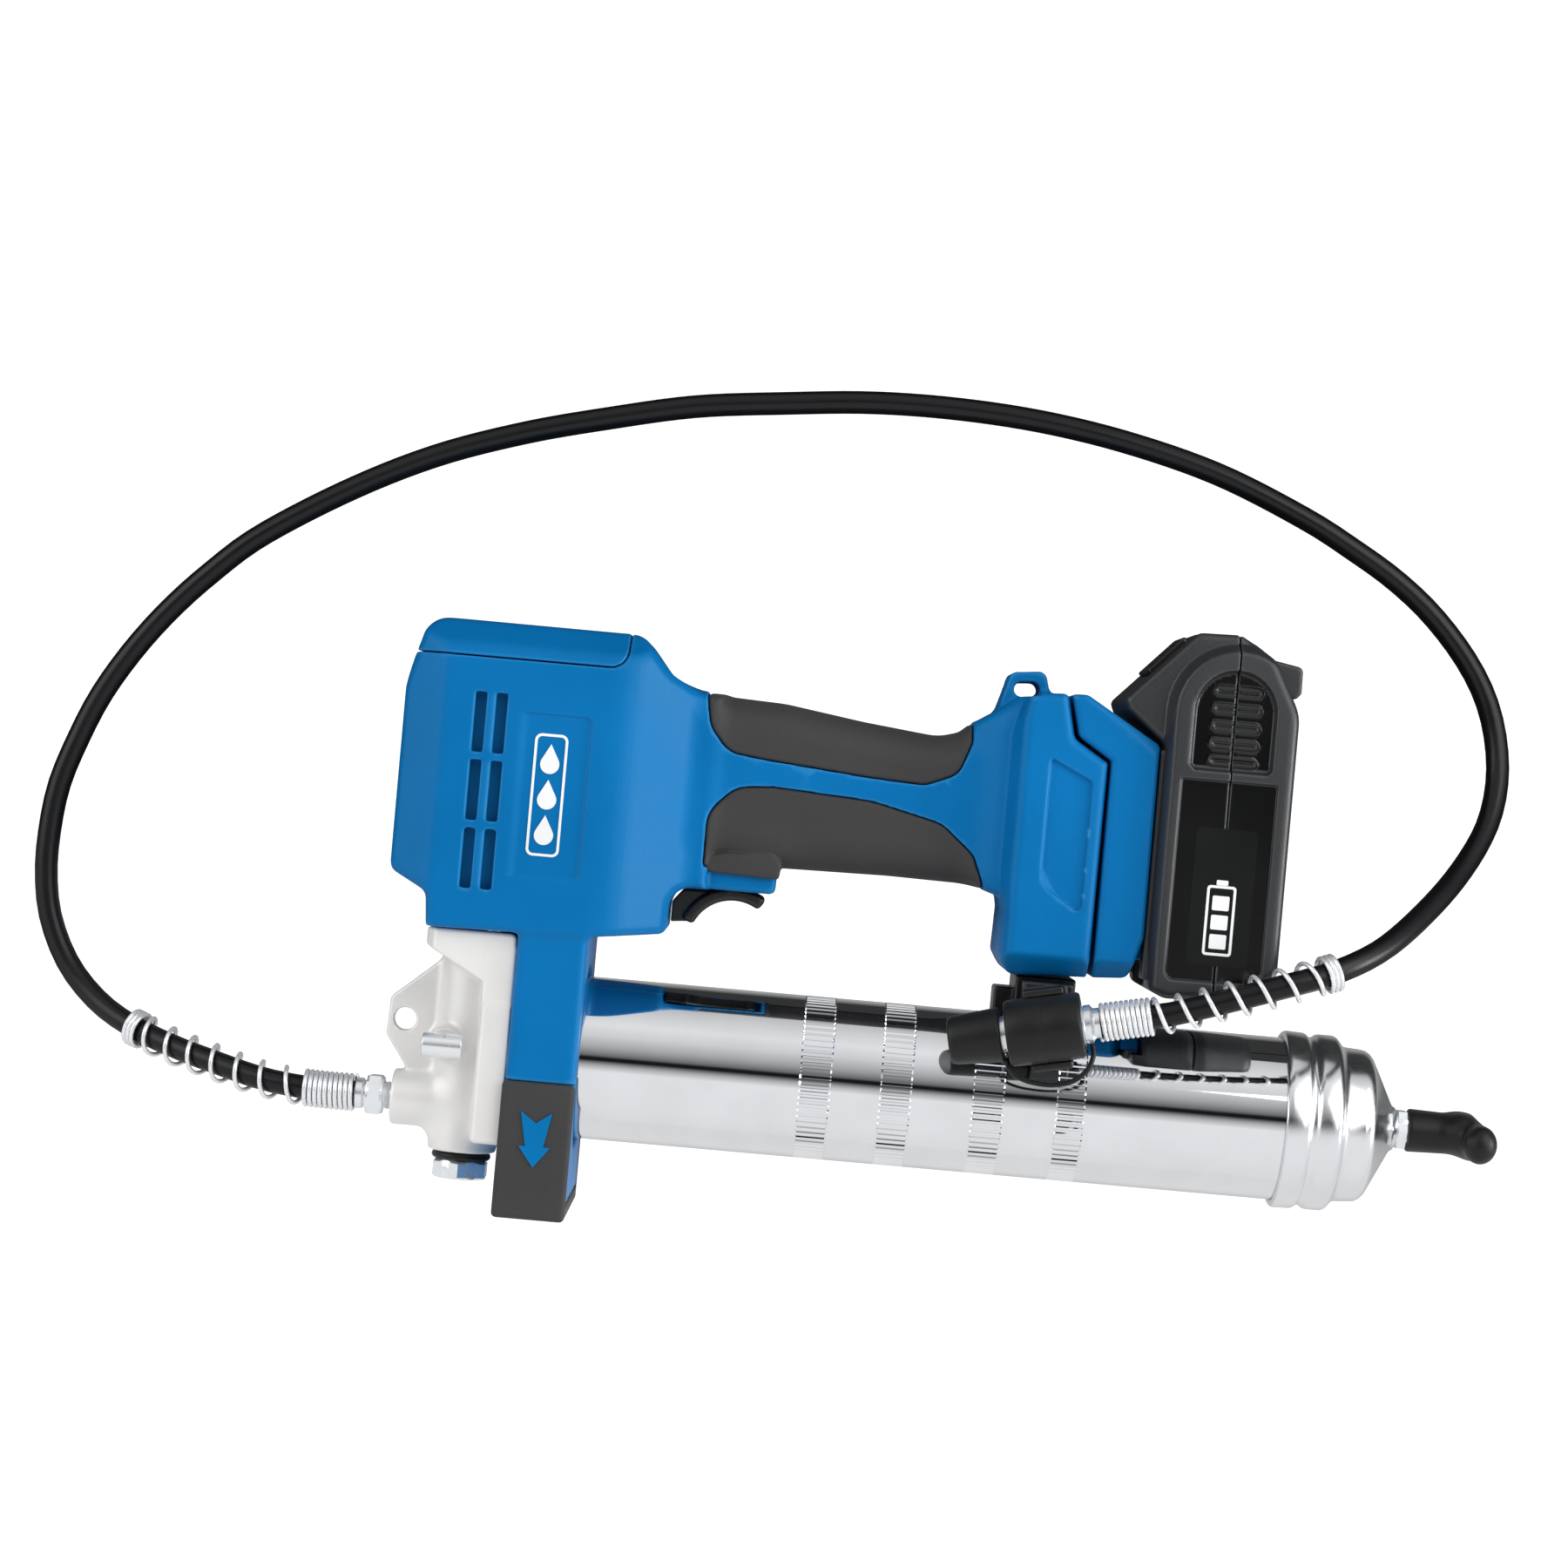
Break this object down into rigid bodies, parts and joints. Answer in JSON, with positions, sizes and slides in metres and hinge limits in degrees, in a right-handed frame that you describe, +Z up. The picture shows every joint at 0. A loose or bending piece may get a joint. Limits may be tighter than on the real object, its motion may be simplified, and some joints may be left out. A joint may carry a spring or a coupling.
{
  "type": "cordless grease gun",
  "caption": "Battery grease gun with a screw-on grease barrel, geared pump, trigger grip, slide-on pack and a flexible hose ending in a coupler.",
  "frame": {"origin": "on the surface that the tool lies on, under the middle of the tool without its hose", "axes": "+X along the barrel towards the pull handle, +Y from the barrel up to the grip and the top of the motor housing, +Z up, out of the tool's left side"},
  "size_m": [0.5262, 0.3012, 0.0919],
  "materials": {
    "housing_blue": "fine-grained moulded nylon",
    "grip_rubber": "soft overmoulded rubber",
    "foot_grey": "fine-grained",
    "arrow_blue": "printed",
    "pack_grey": "fine-grained",
    "black_plastic": "satin",
    "black_rubber": "satin",
    "hose_black": "glossy thermoplastic cover",
    "chrome": "polished",
    "zinc": "zinc plated",
    "steel": "ground",
    "spring_steel": "zinc plated wire",
    "cast_silver": "satin silver paint on die cast aluminium",
    "aluminium": "machined",
    "gear_bronze": "sintered",
    "copper": "windings",
    "contact_brass": "plated",
    "board_green": "solder mask",
    "wire_red": "insulation",
    "cell_green": "shrink sleeve",
    "seal_yellow": "moulded"
  },
  "bodies": {
    "tool": {"housing_left": "housing_blue", "housing_right": "housing_blue", "top_cover": "housing_blue", "grip_upper": "grip_rubber", "grip_lower": "grip_rubber", "battery_adapter": "housing_blue", "adapter_terminals": "contact_brass", "foot_pad": "foot_grey", "foot_arrows": "arrow_blue", "housing_screws": "steel", "trigger_spring": "spring_steel", "trigger_switch": "black_plastic", "control_board": "board_green", "wiring": "wire_red", "motor_can": "steel", "motor_end_bell": "black_plastic", "motor_plate": "aluminium", "end_plate": "aluminium", "crank_support": "aluminium", "shaft_bearings": "steel", "pump_head": "cast_silver", "head_screws": "zinc", "pump_plug": "chrome", "plug_seal": "black_rubber", "check_ball": "steel", "check_spring": "spring_steel", "barrel_gasket": "black_rubber", "handle_support": "black_plastic", "coupler_clip": "black_plastic", "hose": "hose_black", "outlet_fitting": "zinc", "hose_ferrule": "zinc", "outlet_guard": "spring_steel", "coupler_guard": "spring_steel", "coupler_body": "zinc", "coupler_sleeve": "black_rubber", "cap_lanyard": "black_rubber"},
    "trigger_body": {"trigger": "black_plastic"},
    "rotor": {"motor_rotor": "copper", "motor_fan": "black_plastic", "motor_pinion": "steel"},
    "idler": {"idler_gear": "gear_bronze"},
    "crank": {"crank_gear": "gear_bronze", "crankshaft": "steel"},
    "piston": {"piston_yoke": "steel", "pump_piston": "steel"},
    "bleeder": {"bleeder_valve": "zinc"},
    "barrel": {"barrel_tube": "chrome", "barrel_cap": "chrome", "follower_spring": "spring_steel"},
    "plunger": {"follower": "seal_yellow", "follower_seal": "black_rubber", "plunger_rod": "steel", "rod_nut": "zinc", "rod_handle": "black_rubber"},
    "cap": {"dust_cap": "black_rubber"},
    "battery": {"battery_front_shell": "pack_grey", "battery_rear_shell": "pack_grey", "battery_cells": "cell_green"},
    "latch": {"battery_latch": "black_plastic"}
  },
  "joints": [
    {"name": "trigger_squeeze", "type": "slide", "parent": "tool", "child": "trigger_body", "axis": [0, 1, 0], "range_m": [0, 0.006], "stiffness_N_per_m": 500, "springref_m": -0.004, "deforming": ["trigger_spring"]},
    {"name": "crank_spin", "type": "hinge", "parent": "tool", "child": "crank", "pos_m": [-0.129, 0.0166, 0.038], "axis": [1, 0, 0], "continuous": true},
    {"name": "idler_spin", "type": "hinge", "parent": "tool", "child": "idler", "pos_m": [-0.114, 0.0421, 0.038], "axis": [1, 0, 0], "continuous": true},
    {"name": "motor_spin", "type": "hinge", "parent": "tool", "child": "rotor", "pos_m": [-0.144, 0.0631, 0.038], "axis": [1, 0, 0], "continuous": true},
    {"name": "piston_stroke", "type": "slide", "parent": "tool", "child": "piston", "axis": [0, 1, 0], "range_m": [-0.009, 0.009]},
    {"name": "bleeder_turn", "type": "hinge", "parent": "tool", "child": "bleeder", "pos_m": [-0.1721, -0.05485, 0.048], "axis": [0, 0, 1], "range_deg": [0, 180]},
    {"name": "barrel_turn", "type": "hinge", "parent": "tool", "child": "barrel", "pos_m": [-0.014, -0.05615, 0.038], "axis": [1, 0, 0], "range_deg": [0, 720]},
    {"name": "plunger_pull", "type": "slide", "parent": "barrel", "child": "plunger", "axis": [1, 0, 0], "range_m": [0, 0.19], "stiffness_N_per_m": 150, "springref_m": -0.06, "deforming": ["follower_spring"]},
    {"name": "dust_cap_pull", "type": "slide", "parent": "tool", "child": "cap", "axis": [-0.969, -0.2148, -0.1219], "range_m": [0, 0.013], "deforming": ["cap_lanyard"]},
    {"name": "battery_slide", "type": "slide", "parent": "tool", "child": "battery", "axis": [0, 1, 0], "range_m": [0, 0.042]},
    {"name": "latch_press", "type": "slide", "parent": "battery", "child": "latch", "axis": [0.7302, -0.6833, 0], "range_m": [0, 0.0025], "stiffness_N_per_m": 600, "springref_m": -0.002}
  ],
  "couplings": [
    {"joint": "idler_spin", "follows": "crank_spin", "ratio": -4.6667},
    {"joint": "motor_spin", "follows": "crank_spin", "ratio": 28}
  ]
}
